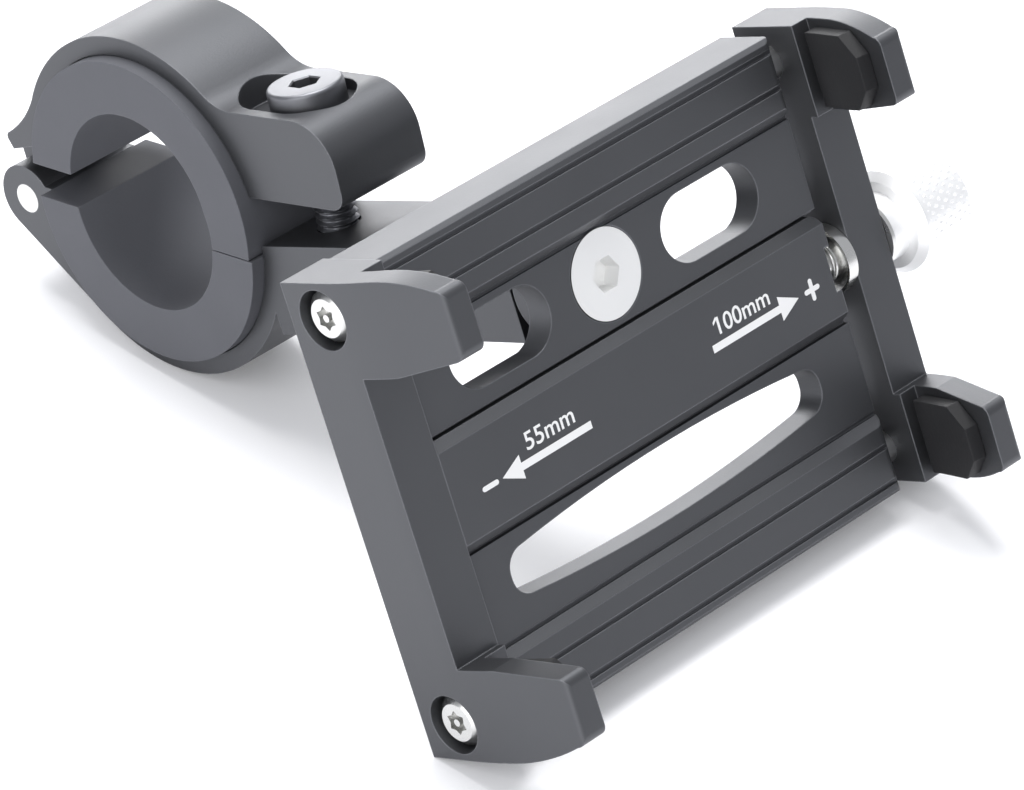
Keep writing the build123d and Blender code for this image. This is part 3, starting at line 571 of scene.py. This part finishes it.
class MOUNT_OT_bolt(bpy.types.Operator):
    """Turn the clamp bolt's socket head and cut its thread"""
    bl_idname = "mount.bolt"
    bl_label = "Make the clamp bolt"

    def execute(self, context):
        size = sizes()
        steel = bpy.data.materials["zinc-plated steel"]
        axis = joint_axis("clamp_bolt_travel")
        origin = centre_line("clamp_bolt", axis)
        low, high = reach_along("clamp_bolt", origin, axis)
        outline = rings("clamp_bolt", origin, axis)
        seat = min(along for radius, along in outline if radius > SHANK_LIMIT)
        shank = max(radius for radius, along in outline if along < seat - MM)

        head, edge = size.bolt_head, size.bolt_edge
        loops = [(seat, circle(head - FOOT_CHAMFER)), (seat + FOOT_CHAMFER, circle(head))]
        for step in range(EDGE_STEPS + 1):
            angle = math.pi / 2 * step / EDGE_STEPS
            loops.append((high - edge + edge * math.sin(angle), circle(head - edge + edge * math.cos(angle))))
        socket = hexagon(size.bolt_hex)
        loops += [(high, hexagon(size.bolt_hex + SOCKET_CHAMFER)), (high - SOCKET_CHAMFER, socket),
                  (high - SOCKET_DEPTH, socket)]
        top = turned_solid("clamp_bolt_head", loops, axis_place(origin, axis))
        top.data.materials.append(steel)
        smooth_sides(top.data)
        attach(top, "bolt")
        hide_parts("clamp_bolt")

        thread = plain_mesh("clamp_bolt_thread", bpy.data.node_groups["threaded rod"], {
            "Columns": BOLT_COLUMNS, "Sides": ROD_SIDES, "Length": seat - low + THREAD_LAP, "Plain": 0.0,
            "Crest": shank, "Depth": size.thread_depth, "Pitch": size.thread_pitch, "Material": steel},
            axis_place(origin + axis * low, axis))
        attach(thread, "bolt")
        return {"FINISHED"}


# ---- knurl
KNURL_COLUMNS = 84
SIDES_PER_DIAMOND = 9
SAME_RADIUS = 0.02 * MM  # radii closer than this belong to the same step of the knob
VALLEY_DEPTH = 0.1 * MM  # how far the knurl's valleys lie inside the drum's surface
SLEEVE_WALL = 0.25 * MM  # from the valleys in to the sleeve's inner side


class MOUNT_OT_knurl(bpy.types.Operator):
    """Cut the diamond knurl on the knob's drum"""
    bl_idname = "mount.knurl"
    bl_label = "Knurl the knob"

    def execute(self, context):
        size = sizes()
        origin = joint_place("knob_turn")
        outline = rings("adjuster_knob", origin, ACROSS)
        flange = max(radius for radius, along in outline)
        drum_start = max(along for radius, along in outline if radius > flange - SAME_RADIUS)
        drum = max(radius for radius, along in outline if along > drum_start + MM)
        drum_end = max(along for radius, along in outline if radius > drum - SAME_RADIUS)
        start = drum_start + size.knurl_margin
        sleeve = plain_mesh("knurled_sleeve", knurl_tree(), {
            "Columns": KNURL_COLUMNS, "Sides": size.knurl_rows * SIDES_PER_DIAMOND + 1,
            "Diamonds": size.knurl_rows, "Length": drum_end - start, "Radius": drum - VALLEY_DEPTH,
            "Height": size.knurl_height, "Slope": size.knurl_slope / MM, "Sink": SLEEVE_WALL,
            "Material": bpy.data.materials["turned aluminium"]}, axis_place(origin + ACROSS * start, ACROSS))
        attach(sleeve, "knob")
        return {"FINISHED"}


# ---- marks on the strip, drawn in mm from the strip's middle and then placed
MARK_RISE = 0.02  # how far a mark stands out of the strip's face, and how far it goes in
FIGURE_SHARE = 0.72  # the figures' height as a share of the font's size
STROKE_GAIN = 0.012  # how far the font's strokes are widened, as a share of the height
FLAG_REACH, FLAG_DROP, FLAG_PEN = 0.28, 0.22, 0.17  # the flag of a 1, as shares of its height
BOW_STEPS = 6
# each text's name, words and width, and where it starts along the strip and above its centre line
TEXTS = (("mark_55", "55mm", 7.3, -18.25, 0.42),
         ("mark_100", "100mm", 8.7, 11.3, 0.35))
# each arrow's name, its tail and its tip along the strip, half its head's width and its head's length
ARROWS = (("mark_arrow_left", -8.85, -22.4, 1.35, 2.95),
          ("mark_arrow_right", 10.3, 24.1, 1.4, 3.0))
MINUS_PLACE, PLUS_PLACE = -24.2, 26.3
HALF_BAR, HALF_POST = 1.2, 1.28
SIGN_SHARE = 0.68  # the line of the signs as a share of the arrows'


def strip_place(along, above):
    """The matrix that lays a flat mark, drawn in mm, on the face of the strip, over the lead screw's axis."""
    middle = joint_place("knob_turn")
    middle.x = 0.0
    face = middle + OUT * reach_along("screw_cover", middle, OUT)[1]
    place = face + ACROSS * along * MM + UP * above * MM
    return Matrix.Translation(place) @ Matrix((ACROSS, UP, OUT)).transposed().to_4x4() @ Matrix.Scale(MM, 4)


def flat_mark(name, outline, place):
    """A closed thin solid from a flat outline in mm, drawn anticlockwise."""
    count = len(outline)
    points = [(x, y, z) for z in (-MARK_RISE, MARK_RISE) for x, y in outline]
    sides = [(i, (i + 1) % count, (i + 1) % count + count, i + count) for i in range(count)]
    mesh = bpy.data.meshes.new(name)
    mesh.from_pydata(points, [], [tuple(reversed(range(count))), tuple(range(count, 2 * count))] + sides)
    mesh.transform(place)
    return mesh


def add_flag(mesh, height):
    """Add the slanting flag to the bare 1 that a text starts with."""
    left = min(v.co.x for v in mesh.vertices)
    tip = left - FLAG_REACH * height
    drop, pen = FLAG_DROP * height, FLAG_PEN * height
    flag = flat_mark("flag", [(left, height), (tip, height - drop), (tip, height - drop - pen),
                              (left, height - pen)], Matrix.Identity(4))
    both = bmesh.new()
    both.from_mesh(mesh)
    both.from_mesh(flag)
    both.to_mesh(mesh)
    both.free()
    bpy.data.meshes.remove(flag)


def text_mark(name, words, height, width, place):
    """Raised figures as a thin solid, made a mesh before they are placed. A leading 1 gets its flag."""
    curve = bpy.data.curves.new(name, "FONT")
    curve.body = words
    curve.size = height / FIGURE_SHARE
    curve.extrude = MARK_RISE
    curve.offset = STROKE_GAIN * height
    curve.resolution_u = 6
    carrier = bpy.data.objects.new(name, curve)
    bpy.context.scene.collection.objects.link(carrier)
    mesh = bpy.data.meshes.new_from_object(carrier.evaluated_get(bpy.context.evaluated_depsgraph_get()))
    bpy.data.objects.remove(carrier)
    if words.startswith("1"):
        add_flag(mesh, height)
    spread = max(v.co.x for v in mesh.vertices) - min(v.co.x for v in mesh.vertices)
    mesh.transform(place @ Matrix.Diagonal((width / spread, 1.0, 1.0, 1.0)))
    return mesh


def arrow(tail, tip, half_line, half_head, head):
    """An arrow's outline in mm, from its tail to its tip along x."""
    way = 1 if tip > tail else -1
    neck = tip - way * head
    outline = [(tail, -half_line), (neck, -half_line), (neck, -half_head), (tip, 0), (neck, half_head),
               (neck, half_line), (tail, half_line)]
    return outline if way > 0 else outline[::-1]


def round_arm(reach, half_line, turn):
    """The rounded end of a stroke that reaches out from the origin at a turn."""
    middle = reach - half_line
    bows = [turn + math.pi * (step / BOW_STEPS - 0.5) for step in range(BOW_STEPS + 1)]
    return [(middle * math.cos(turn) + half_line * math.cos(bow),
             middle * math.sin(turn) + half_line * math.sin(bow)) for bow in bows]


def plus_sign(half_bar, half_post, half_line):
    """A plus with rounded ends, drawn anticlockwise in mm."""
    outline = []
    for quarter, reach in enumerate((half_bar, half_post, half_bar, half_post)):
        turn = quarter * math.pi / 2
        outline += round_arm(reach, half_line, turn)
        corner = turn + math.pi / 4
        outline.append((half_line * math.sqrt(2) * math.cos(corner),
                        half_line * math.sqrt(2) * math.sin(corner)))
    return outline


class MOUNT_OT_marks(bpy.types.Operator):
    """Mark the strip with the two widths, their arrows and the signs"""
    bl_idname = "mount.marks"
    bl_label = "Mark the strip"

    def execute(self, context):
        size = sizes()
        height, half_line, level = size.mark_height / MM, size.mark_line / MM / 2, -size.mark_level / MM
        # laser marks: bare metal that reads as matt off-white
        ink = finish_material("laser mark", colours().ink, metallic=0.0, roughness=0.6,
                              grain=0.2, grain_depth=0.003, mottle=0.02)
        thin = half_line * SIGN_SHARE
        minus = round_arm(HALF_BAR, thin, 0.0) + round_arm(HALF_BAR, thin, math.pi)
        plus = plus_sign(HALF_BAR, HALF_POST, thin)
        pieces = [(name, text_mark(name, words, height, width, strip_place(along, above)))
                  for name, words, width, along, above in TEXTS]
        shapes = [(name, arrow(tail, tip, half_line, half_head, head), 0.0)
                  for name, tail, tip, half_head, head in ARROWS]
        shapes += [("mark_minus", minus, MINUS_PLACE), ("mark_plus", plus, PLUS_PLACE)]
        pieces += [(name, flat_mark(name, outline, strip_place(along, level)))
                   for name, outline, along in shapes]
        for name, mesh in pieces:
            mesh.materials.clear()
            mesh.materials.append(ink)
            mark = bpy.data.objects.new(name, mesh)
            context.scene.collection.objects.link(mark)
            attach(mark, "cradle")
        return {"FINISHED"}


# ---- stage
FLOOR_REACH = 3.0
FLOOR_GLOW = 0.1
SKY = (0.93, 0.95, 1.0, 1.0)
SKY_STRENGTH = 0.58
# each lamp's name, its place, what it points at, its width and height in metres, and its watts
LAMPS = (("top softbox", (0.15, 0.25, 0.75), (0, -0.02, 0), 0.55, 0.55, 9.0),
         ("back panel", (0.62, 0.80, 0.11), (0, -0.03, 0.05), 0.7, 0.24, 4.2),
         ("left fill", (-0.7, -0.25, 0.35), (0, -0.03, 0), 0.9, 0.9, 5.0))
# a long lens from the front left, above
CAMERA_PLACE = Vector((-0.4046, -0.4163, 0.3909))
CAMERA_RIGHT = Vector((0.6858, -0.7274, 0.0261)).normalized()
CAMERA_FORWARD = Vector((0.6004, 0.5452, -0.5849)).normalized()
CAMERA_LENS = 218.7


def floor_material(colour):
    """A matt pale floor that glows a little to the camera alone, so that it reads as plain white."""
    material, tree = blank_material("pale floor")
    seen = add(tree, "ShaderNodeLightPath").outputs["Is Camera Ray"]
    matte = add(tree, "ShaderNodeBsdfDiffuse", {"Color": tuple(colour) + (1.0,)})
    glow = add(tree, "ShaderNodeEmission", {"Color": (1, 1, 1, 1), "Strength": FLOOR_GLOW})
    both = add(tree, "ShaderNodeAddShader", (matte, glow))
    shown = add(tree, "ShaderNodeMixShader", (seen, matte, both))
    add(tree, "ShaderNodeOutputMaterial", {"Surface": shown})
    return material


class MOUNT_OT_stage(bpy.types.Operator):
    """Add the floor, the lights, the world and the camera"""
    bl_idname = "mount.stage"
    bl_label = "Set the stage"

    def execute(self, context):
        lowest = loaded_box[0].z
        corners = ((-1, -1), (1, -1), (1, 1), (-1, 1))
        mesh = bpy.data.meshes.new("floor")
        mesh.from_pydata([(x * FLOOR_REACH, y * FLOOR_REACH, lowest) for x, y in corners], [], [(0, 1, 2, 3)])
        mesh.materials.append(floor_material(colours().floor))
        floor = bpy.data.objects.new("floor", mesh)
        context.scene.collection.objects.link(floor)

        world = bpy.data.worlds.new("studio")
        world.use_nodes = True
        tree = world.node_tree
        tree.nodes.clear()
        sky = add(tree, "ShaderNodeBackground", {"Color": SKY, "Strength": SKY_STRENGTH})
        add(tree, "ShaderNodeOutputWorld", {"Surface": sky})
        context.scene.world = world

        for name, where, aim, wide, tall, watts in LAMPS:
            light = bpy.data.lights.new(name, "AREA")
            light.shape = "RECTANGLE"
            light.size = wide
            light.size_y = tall
            light.energy = watts
            lamp = bpy.data.objects.new(name, light)
            lamp.location = where
            lamp.rotation_mode = "QUATERNION"
            lamp.rotation_quaternion = (Vector(where) - Vector(aim)).to_track_quat("Z", "Y")
            context.scene.collection.objects.link(lamp)

        data = bpy.data.cameras.new("camera")
        data.sensor_width = 36.0
        data.lens = CAMERA_LENS
        data.clip_start = 0.05
        data.clip_end = 10.0
        camera = bpy.data.objects.new("camera", data)
        above = CAMERA_RIGHT.cross(CAMERA_FORWARD)
        turn = Matrix((CAMERA_RIGHT, above, -CAMERA_FORWARD)).transposed().to_4x4()
        camera.matrix_world = Matrix.Translation(CAMERA_PLACE) @ turn
        context.scene.collection.objects.link(camera)
        context.scene.camera = camera
        context.scene.view_settings.view_transform = "Standard"
        return {"FINISHED"}


class MOUNT_PT_panel(bpy.types.Panel):
    """Buttons for each step, and the sizes and colours"""
    bl_idname = "MOUNT_PT_panel"
    bl_label = "Phone handlebar mount"
    bl_space_type = "VIEW_3D"
    bl_region_type = "UI"
    bl_category = "Mount"

    def draw(self, context):
        for name in STEPS:
            self.layout.operator(f"mount.{name}")
        for group in (context.scene.mount_sizes, context.scene.mount_colours):
            for key in group.bl_rna.properties.keys():
                if key not in ("rna_type", "name"):
                    self.layout.prop(group, key)


STEPS = ("finishes", "threads", "bolt", "knurl", "marks", "stage")
CLASSES = (MountSizes, MountColours, MOUNT_OT_finishes, MOUNT_OT_threads, MOUNT_OT_bolt, MOUNT_OT_knurl,
           MOUNT_OT_marks, MOUNT_OT_stage, MOUNT_PT_panel)


def register():
    for cls in CLASSES:
        bpy.utils.register_class(cls)
    bpy.types.Scene.mount_sizes = bpy.props.PointerProperty(type=MountSizes)
    bpy.types.Scene.mount_colours = bpy.props.PointerProperty(type=MountColours)


def unregister():
    del bpy.types.Scene.mount_colours
    del bpy.types.Scene.mount_sizes
    for cls in reversed(CLASSES):
        bpy.utils.unregister_class(cls)


def main():
    register()
    for name in STEPS:
        getattr(bpy.ops.mount, name)()


if __name__ == "__main__":
    main()
